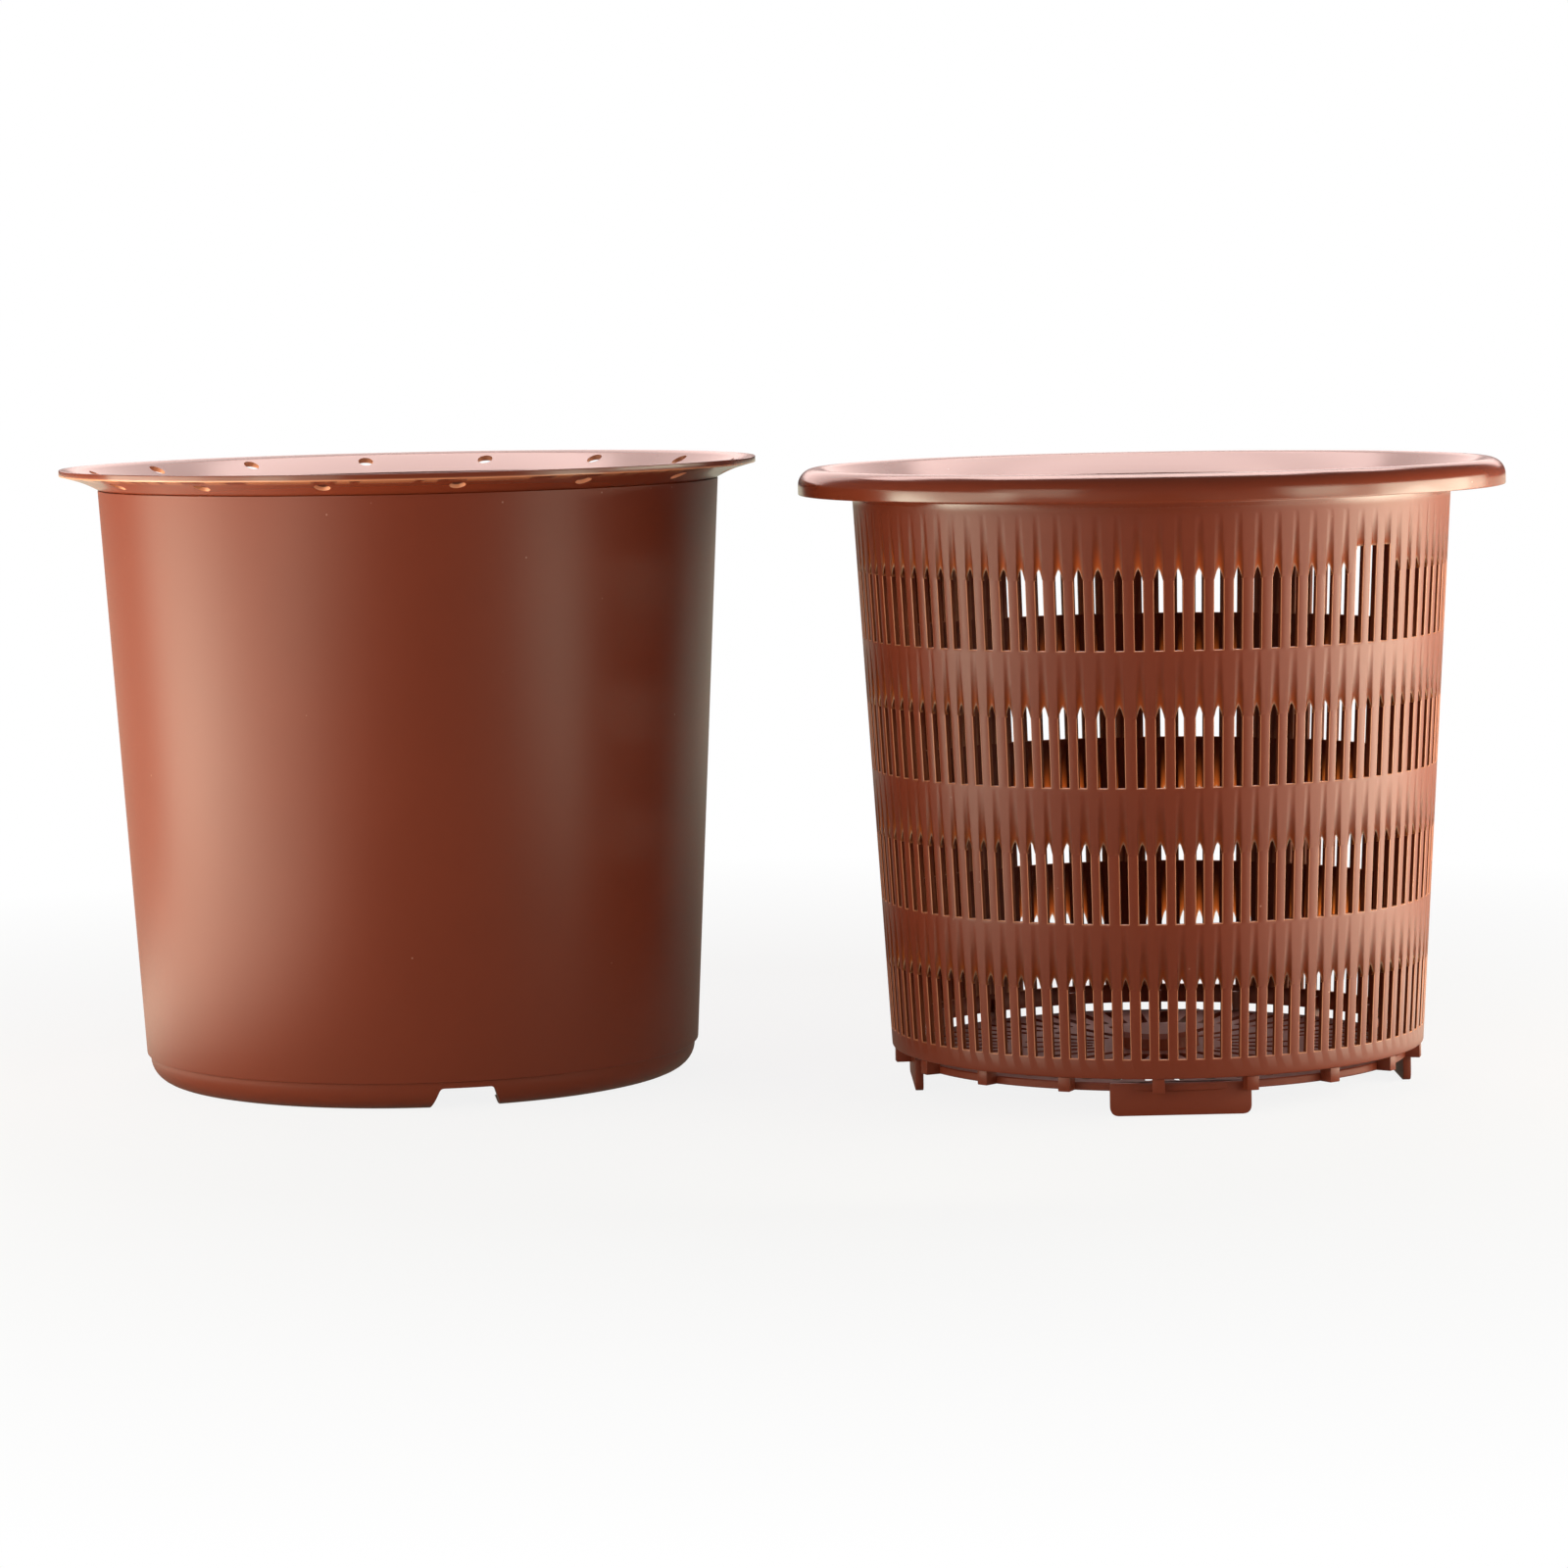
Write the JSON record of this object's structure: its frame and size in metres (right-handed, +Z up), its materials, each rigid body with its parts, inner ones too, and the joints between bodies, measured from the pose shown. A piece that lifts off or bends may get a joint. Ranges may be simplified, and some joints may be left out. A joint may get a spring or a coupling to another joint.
{
  "type": "orchid pot",
  "caption": "Plastic orchid pot: a smooth tapered outer pot with a flared, pierced rim, and a slotted basket on plate feet that drops into it.",
  "frame": {"origin": "middle of the ground that both pots cover, on the plane they stand on", "axes": "+X runs from the outer pot to the basket, +Y away from the front, +Z up"},
  "size_m": [0.3638, 0.2164, 0.1572],
  "materials": {
    "brown_plastic": "satin injection-moulded polypropylene, reddish brown, slightly translucent where thin"
  },
  "bodies": {
    "pot": {"outer_pot": "brown_plastic"},
    "basket": {"basket_wall": "brown_plastic", "basket_floor": "brown_plastic"}
  },
  "joints": [
    {"name": "basket_lift", "type": "slide", "parent": "pot", "child": "basket", "axis": [0, 0, 1], "range_m": [0, 0.2]}
  ]
}
